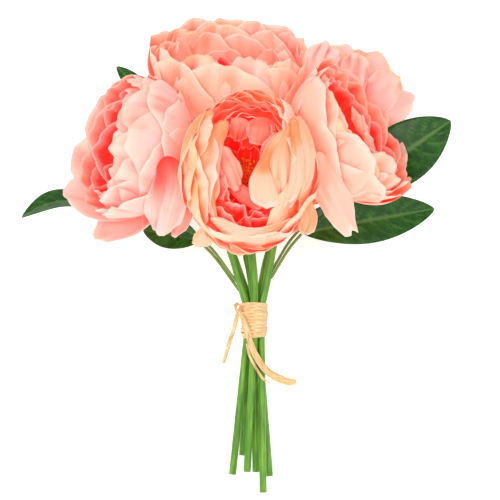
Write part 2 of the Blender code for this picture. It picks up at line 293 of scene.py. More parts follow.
def torn_strip(sheaf, path, half_width, twist, first_side, taper, thick=0.16, curl=0.35):
    """One strip of raffia along a path: thin, slightly curled across, twisting. Its tip is taper times
    as wide as it is elsewhere."""
    sides, normals = travelling_frames(path, first_side)
    length = sum((b - a).length for a, b in zip(path, path[1:]))
    top, bottom, uv = [], [], []
    done = 0.0
    for k, place in enumerate(path):
        if k:
            done += (place - path[k - 1]).length
        share = done / length
        turned = twist * share
        side = sides[k] * math.cos(turned) + normals[k] * math.sin(turned)
        normal = normals[k] * math.cos(turned) - sides[k] * math.sin(turned)
        width = half_width * (1 - (1 - taper) * share**3)
        width *= 1 + STRIP_WAVER * math.sin(9 * share + twist)
        row_top, row_bottom, row_uv = [], [], []
        for u in np.linspace(-1, 1, STRIP_POINTS_ACROSS):
            lift = curl * width * (1 - u * u) + STRIP_CRINKLE * math.sin(7 * u + 5 * share)
            spot = place + side * (u * width) + normal * lift
            row_top.append(spot + normal * thick)
            row_bottom.append(spot - normal * thick * (1 if abs(u) < 1 else -STRIP_EDGE_LAP))
            row_uv.append((0.5 + u * width / 6, done / 10))
        top.append(row_top)
        bottom.append(row_bottom)
        uv.append(row_uv)
    ring = [t + b[::-1] for t, b in zip(top, bottom)]
    ring_uv = [w + w[::-1] for w in uv]
    sheaf.grid(ring, ring_uv, closed_round=True)


def raffia_tail(name, strips):
    """A loose end made of torn strips, which part towards its tip. Each strip is (sideways shift, lift,
    half width, twist, taper, start, stop), the last two as shares of the route."""
    keys, half_width = TAILS[name]
    route = smooth_route(keys, 6)
    sides, normals = travelling_frames(route, (1, 0, 0))
    last = len(route) - 1
    sheaf = Sheaf()
    for shift, lift, strip_half_width, twist, taper, start, stop in strips:
        strip = []
        for k in range(int(start * last), int(stop * last) + 1):
            spread = k / last
            strip.append(
                route[k] + sides[k] * shift * (0.4 + spread) + normals[k] * lift * (0.3 + spread)
            )
        torn_strip(sheaf, strip, strip_half_width, twist, (1, 0, 0), taper)
    made = sheaf.piece(f"{name}_strips", RAFFIA, name)


raffia_tail("raffia_left_tail", [
    (0.5, 0.1, 1.15, 0.3, 1.0, 0.0, 1.0), (-0.8, -0.3, 0.8, -0.4, 0.8, 0.0, 0.68),
])
raffia_tail("raffia_right_tail", [
    (0.2, 0.0, 1.6, 0.25, 1.35, 0.0, 1.0), (-1.3, 0.3, 0.9, -0.3, 0.7, 0.05, 0.96),
    (1.3, -0.2, 0.9, 0.4, 0.5, 0.1, 1.0), (2.1, 0.2, 0.45, 0.5, 0.4, 0.35, 0.88),
    (-0.3, 0.7, 0.6, 0.3, 0.6, 0.0, 0.7),
])
raffia_tail("raffia_thin_tail", [
    (0.0, 0.0, 0.8, 0.4, 0.5, 0.0, 1.0), (-0.8, 0.1, 0.4, -0.4, 0.5, 0.1, 0.9),
])


# ---- Flower heads: where they stand ----
# Each head's own frame has its Z along the flower's axis and its origin where the petals grow. It
# is read off the solids: the axis runs from the calyx to the middle petals.

HEADS = ("front", "left", "right", "top", "back_left", "back_right")
CALYX_HALF_HEIGHT = 3.35
CALYX_FOOT = -6.4


def middle_of(node):
    """The middle of a solid, in the bunch's own frame."""
    low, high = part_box(node)
    return UNLAID @ ((low + high) / 2)


def head_frame(name, top):
    """A head's own frame. Azimuth 0 of its petals is the way that top points."""
    foot = middle_of(f"{name}_calyx")
    w = (middle_of(f"{name}_middle_petals") - foot).normalized()
    x = Vector(top)
    x = (x - w * x.dot(w)).normalized()
    y = w.cross(x)
    base = foot + w * CALYX_HALF_HEIGHT
    return Matrix((
        (x.x, y.x, w.x, base.x), (x.y, y.y, w.y, base.y), (x.z, y.z, w.z, base.z), (0, 0, 0, 1),
    ))


FRAMES = {name: head_frame(name, (0, 0, -1) if name == "top" else (0, 1, 0)) for name in HEADS}


# ---- Stems ----
# Six green stems, each from its cut end up through the tie and out to its flower. They are smooth
# and a little ridged, thicker above the tie, and pale where they were cut.

TIE_CENTRE_X = 2.7
TIE_BOTTOM_Y = -57.5
TIE_TOP_Y = -34.0
RING_RADIUS_BOTTOM = 5.0
RING_RADIUS_TOP = 5.55
STEM_RADIUS_LOW = 2.35
STEM_RADIUS_HIGH = 2.55
ABOVE_TIE_HANDLE = 38.0
NECK_LENGTH = 2.5
STEM_SIDES = 18
STEM_RIDGE = 0.018

# Points along a stem: below the tie, from the tie to the neck, and up to the joint that swells
POINTS_BELOW = 16
POINTS_ABOVE = 54
JOINT = 53

# name: (cut end, ring angle in the tie, direction above the tie, handle below the head)
STEMS = {
    "front": ((-1.9, -143.5, 4.5), 90, (0.03, 1.0, 0.12), 26),
    "left": ((-11.4, -145.6, 2.0), 162, (-0.30, 1.0, 0.03), 18),
    "right": ((8.5, -157.0, 4.5), 18, (0.24, 1.0, 0.03), 20),
    "top": ((3.9, -144.3, -1.5), None, (-0.09, 1.0, -0.10), 30),
    "back_left": ((-4.9, -133.9, -6.0), 234, (-0.30, 1.0, -0.16), 18),
    "back_right": ((12.7, -147.5, -6.0), 306, (0.10, 1.0, -0.14), 22),
}


def stem_finish():
    """Fresh green skin: long streaks, a paler bloom in places and a soft gloss."""
    shading = Shading("stem", 0.38, Coat_Weight=0.12, Coat_Roughness=0.3)
    place = shading.node("UVMap").outputs["UV"]
    streak = shading.noise(shading.stretch(place, (7.0, 0.35, 1.0)), 4.0, 4.0, 0.6)
    patch = shading.noise(shading.stretch(place, (1.0, 0.7, 1.0)), 2.2, 2.0, 0.5)
    both = shading.math("ADD", shading.math("MULTIPLY", streak, 0.65),
                        shading.math("MULTIPLY", patch, 0.35))
    colour = shading.ramp(both, [
        (0.30, "2C5A04"), (0.44, "4C8A10"), (0.56, "70AC20"), (0.72, "9CCA48"),
    ])
    cut = shading.attribute("cut")["Fac"]
    pith = shading.noise(shading.node("NewGeometry").outputs["Position"], 1400, 3.0, 0.6)
    pale = shading.ramp(pith, [(0.35, "A9BE6A"), (0.6, "DDE3A6")])
    rough = shading.math("MULTIPLY_ADD", streak, 0.25, 0.26)
    return shading.finish(shading.mix(cut, colour, pale), rough, streak, 0.35, 0.0003)


STEM = stem_finish()


def ring_place(angle, height):
    """Where a stem stands in the tie at this height. The middle stem has no angle."""
    share = (height - TIE_BOTTOM_Y) / (TIE_TOP_Y - TIE_BOTTOM_Y)
    reach = RING_RADIUS_BOTTOM + share * (RING_RADIUS_TOP - RING_RADIUS_BOTTOM)
    if angle is None:
        return Vector((TIE_CENTRE_X, height, 0))
    turned = math.radians(angle)
    return Vector((TIE_CENTRE_X + reach * math.cos(turned), height, reach * math.sin(turned)))


def bezier(start, start_handle, end_handle, end, count):
    """Points along a cubic curve, count steps from start to end."""
    found = []
    for step in range(count + 1):
        t = step / count
        s = 1 - t
        found.append(
            start * s**3 + start_handle * 3 * s * s * t + end_handle * 3 * s * t * t + end * t**3
        )
    return found


def stem_path(name):
    """The centre line of a stem, from its cut end through the tie to the foot of its calyx."""
    cut_end, ring_angle, direction, handle = STEMS[name]
    cut_end = Vector(cut_end)
    head = FRAMES[name]
    axis = head.to_3x3() @ Vector((0, 0, 1))
    top = head @ Vector((0, 0, CALYX_FOOT))
    neck = top - axis * NECK_LENGTH
    low = ring_place(ring_angle, TIE_BOTTOM_Y)
    high = ring_place(ring_angle, TIE_TOP_Y)
    below = smooth_route([cut_end, low.lerp(cut_end, 0.5), low], POINTS_BELOW)
    above = bezier(
        high, high + Vector(direction).normalized() * ABOVE_TIE_HANDLE, neck - axis * handle, neck,
        POINTS_ABOVE,
    )
    return [*below, low.lerp(high, 0.5), *above, top]


def swept_tube(sheaf, path, radii, around, ridges=0.0, seed=0, cut=False, **paint):
    """A round skin along a path, with closed ends. If the first end is cut, it is sunk and painted."""
    sides, normals = travelling_frames(path, (1, 0, 0.2))
    rows, uv, painted = [], [], []
    done = 0.0
    last = len(path) - 1
    end_shares = (0.0, 0.55, 0.90)
    stations = [(0, share) for share in end_shares]
    stations += [(k, 1.0) for k in range(len(path))]
    stations += [(last, share) for share in reversed(end_shares)]
    previous = path[0]
    for k, share in stations:
        done += (path[k] - previous).length
        previous = path[k]
        ahead = (path[min(k + 1, last)] - path[max(k - 1, 0)]).normalized()
        outward = -1 if k == 0 else 1
        is_cut = cut and k == 0 and share < 1
        sunk = 0.35 * (1 - share) if is_cut else (share - 1) * 0.5
        ring, ring_uv = [], []
        for c in range(around):
            angle = 2 * math.pi * c / around
            rough = 1 + ridges * math.sin(5 * angle + seed + done * 0.02)
            reach = radii[k] * share * rough
            spot = path[k] + (sides[k] * math.cos(angle) + normals[k] * math.sin(angle)) * reach
            ring.append(spot - ahead * outward * sunk)
            ring_uv.append((c / around + seed * 0.37, done / 30 + seed))
        rows.append(ring)
        uv.append(ring_uv)
        painted.append([1.0 if is_cut else 0.0] * around)
    if cut:
        paint["cut"] = painted
    sheaf.grid(rows, uv, closed_round=True, **paint)


def stem(name, seed):
    """A stem that wavers a little, and swells at one joint and under its calyx."""
    path = stem_path(name)
    radii = []
    for k, p in enumerate(path):
        share = min(1.0, max(0.0, (p.y - TIE_BOTTOM_Y) / (TIE_TOP_Y - TIE_BOTTOM_Y)))
        radius = STEM_RADIUS_LOW + share * (STEM_RADIUS_HIGH - STEM_RADIUS_LOW)
        radius *= 1 + 0.02 * math.sin(0.9 * k + seed)
        radius *= 1 + 0.10 * math.exp(-(((k - len(path) + 1) / 4) ** 2))
        radius *= 1 + 0.14 * math.exp(-(((k - JOINT) / 1.3) ** 2))
        radii.append(radius)
    sheaf = Sheaf()
    swept_tube(sheaf, path, radii, STEM_SIDES, STEM_RIDGE, seed, cut=True)
    sheaf.piece(f"{name}_stem_skin", STEM, f"{name}_stem")


for number, head in enumerate(HEADS):
    stem(head, number)


# ---- Calyx ----
# Under each head the green stem swells into a receptacle, and five pointed sepals grow from it and
# hug the petals. Foot and sepals are one skin, turned round the head's axis.

SEPALS = 5
CALYX_POINTS_AROUND = 40

# (height, reach) up the outside of the calyx and in over its top
CALYX_PROFILE = (
    (CALYX_FOOT, 2.4), (-5.6, 2.9), (-4.2, 3.7), (-2.8, 5.2), (-1.6, 7.4), (-0.9, 8.6), (-0.5, 8.8),
    (-0.15, 7.0), (-0.1, 3.0),
)


def sepal_finish():
    """Dull green, streaked lengthways from dark to yellow."""
    shading = Shading("sepal", 0.55)
    place = shading.node("UVMap").outputs["UV"]
    streak = shading.noise(shading.stretch(place, (12.0, 1.2, 1.0)), 3.0, 4.0, 0.6)
    colour = shading.ramp(streak, [(0.3, "3E6B1E"), (0.5, "64903A"), (0.7, "97AE5C")])
    return shading.finish(colour, None, streak, 0.4, 0.0003)


SEPAL = sepal_finish()


def calyx(name):
    """The swollen foot and its sepals, which stand out to points where the profile is widest."""
    rows, uv = [], []
    for height, reach in CALYX_PROFILE:
        ring, ring_uv = [], []
        for k in range(CALYX_POINTS_AROUND):
            angle = 2 * math.pi * k / CALYX_POINTS_AROUND
            point = abs(math.cos(SEPALS / 2 * angle)) ** 4
            far = reach * (1 + 0.34 * point * max(0.0, (reach - 5) / 4))
            ring.append((math.cos(angle) * far, math.sin(angle) * far, height))
            ring_uv.append((k / CALYX_POINTS_AROUND * 3, height / 8))
        rows.append(ring)
        uv.append(ring_uv)
    sheaf = Sheaf()
    sheaf.grid(rows, uv, closed_round=True)
    sheaf.piece(f"{name}_sepals", SEPAL, f"{name}_calyx", LAID @ FRAMES[name])


for head in HEADS:
    calyx(head)


# ---- Petals ----
# Each petal is a thin soft sheet, narrow and coral at its foot, broad and pale at its ruffled rim.
# Most rise along an arc that curls in over the flower and curve round the head's axis. Those that
# fold over or hang open are laid along a spine of their own.


def petal_finish(name, pale, blush, coral, deep):
    """Petal skin: fine veins that fan from the foot, cloudy mottling, rims that are yellow in places and
    painted pale as if lit through, light that sinks in a little, and a faint painted light of its own."""
    # Emission_Strength sets the faint painted light that the petal gives off in its own colour
    shading = Shading(name, 0.5, Subsurface_Weight=0.12, Subsurface_Radius=(1.0, 0.4, 0.25),
                      Subsurface_Scale=0.0012, Specular_IOR_Level=0.25, Sheen_Weight=0.05,
                      Emission_Strength=0.04)
    place = shading.node("UVMap").outputs["UV"]
    vein = shading.noise(shading.stretch(place, (26.0, 1.3, 1.0)), 1.0, 4.0, 0.6, 0.25)
    cloud = shading.noise(shading.stretch(place, (1.6, 1.6, 1.0)), 1.4, 3.0, 0.55)
    warmth = shading.attribute("blush")["Fac"]
    gold = shading.attribute("gold")["Fac"]
    rim = shading.attribute("rim")["Fac"]
    stirred = shading.math("MULTIPLY_ADD", cloud, 0.40, -0.20)
    streaked = shading.math("MULTIPLY_ADD", vein, 0.30, -0.15)
    depth = shading.math("ADD", shading.math("ADD", warmth, stirred), streaked, clamp=True)
    colour = shading.ramp(depth, [(0.05, pale), (0.32, blush), (0.62, coral), (0.92, deep)])
    patch = shading.math("MULTIPLY_ADD", cloud, 4.0, -2.0, clamp=True)
    tint = shading.math("MULTIPLY", patch, gold, clamp=True)
    colour = shading.mix(tint, colour, rgb("FFD8AC"))
    # At the rim the colour turns pale, a painted light for light shining through the thin edge, and
    # cream-yellow where gold is high, which is the petal's own colour
    rim_light_and_gold = shading.mix(shading.math("MULTIPLY", gold, 1.3, clamp=True), rgb("FFE9E0"), rgb("FFCE94"))
    edge = shading.math("MULTIPLY", rim, 0.65, clamp=True)
    colour = shading.mix(edge, colour, rim_light_and_gold)
    # The petal gives off a little light in its own colour: painted light that stands in for light passing
    # through the petals and brightening their hollows
    shading.feed(shading.shader.inputs["Emission Color"], colour)
    return shading.finish(colour, None, vein, 0.35, 0.00035)


PETAL_PEACH = petal_finish("petal_peach", "FFC6B0", "FFA488", "FF7A54", "FF3E28")
PETAL_GOLD = petal_finish("petal_gold", "FFC6A8", "FFA878", "FF864E", "FF4C2C")
PETAL_PINK = petal_finish("petal_pink", "FFCAC0", "FF9C90", "FF7266", "FF3E34")
PETAL_CORAL = petal_finish("petal_coral", "FFBAA4", "FF9480", "FF5E48", "FF2414")

# What a petal is like where its row in a table says nothing else, in millimetres and degrees. Each
# row gives its azimuth, the reach (radius) of its arc, half its width, and the way its tip heads,
# from straight out.
# foot, floor: how far out and up it starts. lean: how far round the head it goes from foot to rim.
# flare: how far its rim rolls back. tip, crown: how round its end and its foot are. notch: how deep
# its end is cut in. ruffle, pleat, lump, crease: how deep each is. bow: how far a laid petal stands
# out from its spine, towards its facing. inner, outer: how coral its two sides are, from 0 to 1.
# depth: how much more coral its foot is. glow: a coral band of painted shade just
# under its rim. gold: how yellow its rim is. rows, columns: how many points its mesh has along and across.
PLAIN_PETAL = {
    "foot": 5.0, "floor": 0.0, "lean": 0.0, "flare": 6.0, "tip": 0.24, "crown": 0.0, "notch": 0.0,
    "ruffle": 1.7, "pleat": 0.6, "lump": 1.1, "crease": 1.0, "bow": 2.0, "facing": (0, 0, 1),
    "inner": 0.40, "outer": 0.12, "depth": 1.0, "glow": 0.0, "gold": 0.25, "rows": 30, "columns": 31,
}
FOOT_WIDTH = 0.3
EDGE_TUCK = 1.2
TIGHTEST_ROUND = 7.0
SHORTEST_ARC = 40.0
ARC_STEPS = 160

# Half the thickness of a petal at its edge, and how much more it has away from it
THIN_EDGE = 0.06
FULLER_MIDDLE = 0.17

# How much deeper its colour is painted for each millimetre of hollow, as painted shade in its creases, and
# the least and most that makes
FOLD_PAINTED_SHADE = 0.16
FOLD_PAINTED_SHADE_LIMITS = (-0.12, 0.40)


def smooth_step(x):
    """0 below 0, 1 above 1, and an easy rise between them."""
    x = np.clip(x, 0, 1)
    return x * x * (3 - 2 * x)


def surface_normals(points):
    """The way that a grid of points faces, at each of them."""
    normal = np.cross(np.gradient(points, axis=1), np.gradient(points, axis=0))
    return normal / (np.linalg.norm(normal, axis=2, keepdims=True) + 1e-9)


def close_skins(sheaf, first, second, rows, columns):
    """Joins two equal grids of points along their borders."""
    border = [(0, c) for c in range(columns)] + [(k, columns - 1) for k in range(1, rows)]
    border += [(rows - 1, c) for c in range(columns - 2, -1, -1)]
    border += [(k, 0) for k in range(rows - 2, 0, -1)]
    ids = np.array([k * columns + c for k, c in border])
    ahead = np.roll(ids, -1)
    sheaf.faces.append(np.stack([first + ahead, first + ids, second + ids, second + ahead], -1))


def along_arc(petal, u, t):
    """A petal that rises on its arc and curves round the head's axis. One edge is tucked under the
    next petal and the other lies over."""
    fine = np.linspace(0, 1, ARC_STEPS)
    heading = petal["end"] * fine**1.05 - petal["flare"] * smooth_step((fine - 0.78) / 0.22)
    heading = np.radians(heading)
    length = petal["reach"] * math.radians(max(petal["end"], SHORTEST_ARC))
    step = length / (ARC_STEPS - 1)
    out = petal["foot"] + np.concatenate([[0], np.cumsum(np.cos(heading[:-1]) * step)])
    up = petal["floor"] + np.concatenate([[0], np.cumsum(np.sin(heading[:-1]) * step)])

    half = FOOT_WIDTH + (1 - FOOT_WIDTH) * np.sin(np.minimum(t / 0.64, 1) * math.pi / 2) ** 1.1
    half = petal["width"] * half * (1 - 0.18 * smooth_step((t - 0.68) / 0.32))
    around = np.interp(t, fine, np.maximum(out, TIGHTEST_ROUND))
    angle = np.clip(u * half / around, -1.5, 1.5)
    radial = np.interp(t, fine, out) - around * (1 - np.cos(angle))
    radial = radial + EDGE_TUCK * u * smooth_step(t / 0.4)
    sideways = around * np.sin(angle)
    skew = math.radians(petal["azimuth"]) + np.radians(petal["lean"]) * t
    sheet = np.stack([
        radial * np.cos(skew) - sideways * np.sin(skew),
        radial * np.sin(skew) + sideways * np.cos(skew),
        np.interp(t, fine, up),
    ], -1)
    return sheet, half, length


def along_spine(petal, u, t, head):
    """A petal laid along its spine. It bows towards its facing."""
    keys = petal["spine"]
    route = smooth_route([k[:3] for k in keys], 12)
    stations = np.linspace(0, 1, len(route))
    spine = np.array([tuple(p) for p in route])
    ahead = np.gradient(spine, axis=0)
    side = np.cross(ahead, petal["facing"])
    side /= np.linalg.norm(side, axis=1, keepdims=True)
    out = np.cross(side, ahead)
    out /= np.linalg.norm(out, axis=1, keepdims=True)
    spine, side, out = (
        np.stack([np.interp(t, stations, values[:, k]) for k in range(3)], -1)
        for values in (spine, side, out)
    )
    half = np.interp(t, np.linspace(0, 1, len(keys)), [k[3] for k in keys])
    sheet = spine + side * (u * half)[..., None] + out * (petal["bow"] * (1 - u * u))[..., None]
    own = np.array(head.inverted())
    length = sum((b - a).length for a, b in zip(route, route[1:]))
    return sheet @ own[:3, :3].T + own[:3, 3], half, length


def relief(petal, waves, dice, u, s, t, half, length):
    """How far each point of a petal stands out of its smooth sheet. Ruffles run out to its rim, pleats
    and sharp creases run lengthways, and soft lumps lie all over."""
    bearing = np.arctan2(u * 0.9, s - 0.35)
    near_rim = np.maximum(
        smooth_step((s - 0.5) / 0.5) ** 1.7,
        smooth_step((np.abs(u) - 0.66) / 0.34) ** 1.5 * smooth_step(t / 0.5) * 0.7,
    )
    ripple = sum(a * np.sin(k * 1.35 * bearing + p) * 1.5 / k**0.6 for k, p, a in waves[:4])
    pleats = sum(a * np.sin(k * 1.7 * u + p) for k, p, a in waves[1:4]) * np.sin(np.pi * s)
    lumps = 0.0
    for _ in range(5):
        along, wide, phase = dice.uniform(-1, 1), dice.uniform(-1, 1), dice.uniform(0, 6.28)
        lumps = lumps + np.sin(along * t * length / 6 + wide * u * half / 6 + phase)
    folds = 0.0
    for k in (2.1, 3.3, 4.7):
        sharp, phase = dice.uniform(-1, 1), dice.uniform(0, 3.14)
        folds = folds + sharp * (1 - np.abs(np.sin(k * u + phase))) ** 2
    lift = petal["ruffle"] * near_rim * ripple * 0.62 + petal["pleat"] * pleats * 0.4
    lift = lift + petal["crease"] * folds * smooth_step((t - 0.2) / 0.6)
    return lift + petal["lump"] * lumps * 0.45 * smooth_step(t / 0.35)


def add_petal(sheaf, petal, dice, stretch, head):
    """One closed petal: its inner and outer skins meet at the rim. u runs across it, s from its foot to
    its rim, and t is how far along its arc or spine that comes, less where its end is round."""
    rows, columns = petal["rows"], petal["columns"]
    u = np.linspace(-1, 1, columns)[None, :]
    u = np.sign(u) * np.abs(u) ** 0.85
    s = np.linspace(0, 1, rows)[:, None]
    waves = [(k, dice.uniform(0, 2 * math.pi), dice.uniform(0.4, 1.0)) for k in (2, 3, 5, 8, 12)]
    scallop = sum(a * np.sin(k * 1.1 * u + p) for k, p, a in waves[1:]) * 0.010
    notch = petal["notch"] * np.exp(-((u / 0.2) ** 2))
    t = s * (1 - petal["tip"] * np.abs(u) ** 2.4 - notch + scallop)
    t = t + petal["crown"] * np.abs(u) ** 2.4 * (1 - s)

    if "spine" in petal:
        sheet, half, length = along_spine(petal, u, t, head)
        stretch = (1, 1, 1)
    else:
        sheet, half, length = along_arc(petal, u, t)
    lift = relief(petal, waves, dice, u, s, t, half, length)
    sheet = (sheet + surface_normals(sheet) * lift[..., None]) * np.array(stretch)

    # Each side is painted deeper in colour in its own hollows: painted shade where its creases would lie
    # in shadow
    tint = FOLD_PAINTED_SHADE * (lift - lift.mean())
    outer_painted_shade, inner_painted_shade = np.clip(-tint, *FOLD_PAINTED_SHADE_LIMITS), np.clip(tint, *FOLD_PAINTED_SHADE_LIMITS)
    normal = surface_normals(sheet)
    from_edge = np.clip(np.minimum((1 - s) * 8, (1 - np.abs(u)) * 6), 0, 1)
    thick = (THIN_EDGE + FULLER_MIDDLE * from_edge)[..., None]
    rim = np.clip(np.maximum(1 - (1 - s) * 9, 1 - (1 - np.abs(u)) * 8), 0, 1)
    # A band of deeper coral just under the rim, on the inner skin only: painted shade where the rims lie
    # over each other
    glow = petal["glow"] * np.exp(-(((s - 0.84) / 0.08) ** 2))
    shift = dice.uniform(0, 30)
    uv = np.stack([u * (0.35 + 0.65 * s) + shift, t + shift], -1)
    tone = dice.uniform(-0.05, 0.05)
    foot_share = petal["depth"] * (1 - np.clip(t, 0, 1)) ** 1.3
    gold = petal["gold"] * dice.uniform(0.2, 1.0) * smooth_step((s - 0.3) / 0.6)
    first = sheaf.count
    sheaf.grid(sheet + normal * thick, uv, gold=gold, rim=rim,
               blush=petal["outer"] + tone + 0.5 * foot_share**1.5 + outer_painted_shade)
    second = sheaf.count
    sheaf.grid(sheet - normal * thick, uv, flip=True, gold=gold * 0.6, rim=rim,
               blush=petal["inner"] + tone + 0.45 * foot_share + glow + inner_painted_shade)
    close_skins(sheaf, first, second, rows, columns)


def arc(azimuth, reach, width, end, facts=()):
    """The facts of a petal that rises on an arc."""
    return {**dict(facts), "azimuth": azimuth, "reach": reach, "width": width, "end": end}


def lobe(*spine, **facts):
    """The facts of a petal laid along (X, Y, Z, half width) points of the bunch's own frame."""
    plain = {"ruffle": 1.0, "crease": 0.6, "lump": 0.8, "pleat": 0.4, "tip": 0.2, "crown": 0.12,
             "depth": 0.35}
    return {**plain, **facts, "spine": spine}


def petals(name, node, finish, seed, table, stretch=(1, 1, 1), **common):
    """One piece for the petals that stand for one of the head's solids. A row of the table is a lobe,
    or (azimuth, reach, width, end) and then, if it has them, the petal's own facts."""
    dice = np.random.default_rng(seed)
    sheaf = Sheaf()
    for row in table:
        own = row if isinstance(row, dict) else arc(*row)
        add_petal(sheaf, {**PLAIN_PETAL, **common, **own}, dice, stretch, FRAMES[name])
    sheaf.piece(
        f"{name}_{node}_petal_whorl", finish, f"{name}_{node}_petals",
        LAID @ FRAMES[name],
    )


def ring(count, first, reach, width, end, seed, **facts):
    """Rows for the petals of one ring, even round the head but for a little disorder."""
    dice = np.random.default_rng(seed)
    rows = []
    for k in range(count):
        azimuth = first + 360 * k / count + dice.uniform(-7, 7)
        own_reach = reach * (1 + dice.uniform(-0.04, 0.04))
        own_width = width + dice.uniform(-2, 2)
        own_end = end + dice.uniform(-8, 8)
        own = {**facts, "lean": dice.uniform(-6, 6), "flare": dice.uniform(0, 16)}
        rows.append((azimuth, own_reach, own_width, own_end, own))
    return rows


# The front flower looks straight out. Azimuth 0 is up, 90 left, 180 down and 270 right. It is
# taller than wide, with close thin rims above, a long petal rolled in at the left, broad ones
# folded over at the right, a low bowl of petals, and guards that hang open below.

FRONT_STRETCH = (1.14, 0.97, 1.0)

petals("front", "guard", PETAL_GOLD, 11, [
    (0, 35.5, 34, 106), (34, 35, 26, 106, {"ruffle": 2.2}), (70, 36, 32, 118, {"gold": 0.9}),
    (108, 36, 30, 120, {"gold": 1.0}), (138, 41, 20, 66, {"flare": 20, "inner": 0.44}),
    (160, 40, 22, 70, {"flare": 18, "gold": 1.2, "inner": 0.0, "outer": 0.0}),
    (180, 37, 30, 90, {"flare": 12, "gold": 0.8, "inner": -0.1, "outer": 0.0}),
    (210, 37, 28, 94, {"flare": 10, "inner": -0.1, "outer": 0.0}),
    (240, 41, 22, 70, {"flare": 14, "inner": 0.2}), (288, 36, 32, 116),
    (326, 35.5, 30, 106, {"ruffle": 2.2}),
    lobe((-23.3, 84.5, 76, 3.5), (-32.9, 72, 81, 5.5), (-36.5, 54.7, 85, 6), (-34.7, 37.7, 86, 3.5),
         bow=2.5, gold=0.4, outer=0.24),
    lobe((29.3, 80.7, 79, 4), (32.4, 63.2, 86, 6), (31.5, 44.8, 90, 6.5), (23, 25.5, 90, 4),
         bow=3, gold=0.4, crease=1.2),
    lobe((-26.8, 32.9, 93, 4), (-31.0, 26.6, 92, 7), (-35.2, 20.6, 85, 7), outer=0.50, bow=-3,
         tip=0.3, gold=0.0),
    lobe((-23, 20, 90, 3), (-8, 10.5, 93, 4.6), (10, 10, 93, 5), (26, 20, 90, 3), bow=2.5, gold=0.3,
         outer=0.02, depth=0.0, crease=1.4, lump=1.3, facing=(0, -0.5, 1)),
    lobe((-20.9, 14.8, 70, 4), (-27.8, 8.6, 66, 6), (-33.4, 3.7, 62, 5), gold=2.0, outer=0.05),
    lobe((32.4, 30.6, 80, 4.5), (35.8, 19.6, 76, 6), (33, 10.2, 70, 5), outer=0.24, gold=0.0),
    lobe((-8, 14, 76, 8), (-4, 6, 72, 9), (-1, -0.5, 66, 8), outer=0.20, gold=0.2, crease=1.2),
], FRONT_STRETCH, inner=0.12, outer=0.10, gold=0.6, glow=0.10)
petals("front", "outer", PETAL_GOLD, 12, [
    (12, 35.5, 30, 106), (340, 35, 30, 108), (30, 34, 24, 110), (354, 33.2, 24, 112),
    (320, 34, 22, 112), (84, 35, 28, 128, {"gold": 1.0}), (104, 34.2, 24, 138, {"gold": 1.0, "lump": 1.4}),
    (66, 33, 20, 140), (92, 31, 27, 154, {"lump": 1.2, "flare": 16}),
    (158, 35, 26, 108, {"inner": 0.0, "outer": 0.0}),
    (190, 34.5, 32, 114, {"inner": 0.0, "outer": 0.0}),
    (226, 34.5, 28, 120, {"inner": 0.05}),
    (282, 35, 30, 124, {"gold": 0.9}), (262, 34, 26, 136, {"gold": 0.8}),
    (296, 32.6, 26, 148, {"lump": 1.2}),
    (276, 32.5, 18, 150, {"outer": 0.12, "crease": 1.2}),
    lobe((-14.7, 77, 80, 4.5), (-23.2, 65.7, 87, 7), (-26.2, 49.7, 91, 7.5), (-25, 35.1, 92, 6.5),
         (-20.7, 20, 86, 3), bow=4, gold=0.3, crease=2.0, outer=0.26, tip=0.3, crown=0.10),
    lobe((20.7, 71.7, 84, 3), (10.9, 55.6, 92, 6), (8.6, 40.9, 96, 7.6), (11.4, 26.6, 93, 5.5),
         bow=5, gold=0.0, crease=2.0, lump=2.2, tip=0.28, crown=0.1, outer=0.10, depth=0.35),
    lobe((23.1, 75.4, 84, 3), (18.1, 57.4, 91, 5.5), (17.5, 40.9, 94, 6.2), (16.9, 25.3, 92, 4.5),
         bow=4, gold=0.2, crease=2.4, lump=2.0, tip=0.28, crown=0.1, outer=0.16, depth=0.7),
    lobe((26.2, 79, 83, 3), (26, 61.7, 90, 5), (25.4, 43.5, 94, 5.5), (21.2, 26, 92, 3.5),
         bow=4, gold=0.4, crease=2.4, lump=2.0, tip=0.28, crown=0.1, outer=0.14, depth=0.7),
    (228, 31, 22, 150, {"lump": 1.2, "outer": 0.16}), (318, 33, 20, 138, {"outer": 0.14}),
], FRONT_STRETCH, inner=0.16, outer=0.10, floor=1.0, gold=0.5, glow=0.14, ruffle=1.9)
petals("front", "middle", PETAL_PEACH, 13, [
    (4, 30, 22, 114), (30, 29, 19, 118), (338, 29, 20, 118), (14, 26, 18, 122), (350, 25, 17, 124),
    (60, 27, 20, 132), (108, 26, 20, 136), (150, 27, 20, 122, {"outer": 0.8}),
    (182, 29, 22, 112, {"outer": 0.9}), (214, 27, 20, 116, {"outer": 0.85}),
    (196, 24, 18, 122, {"outer": 0.95}), (304, 26, 20, 134), (318, 23, 17, 128, {"flare": 20}),
], FRONT_STRETCH, inner=0.46, outer=0.22, floor=2.5, ruffle=2.0)
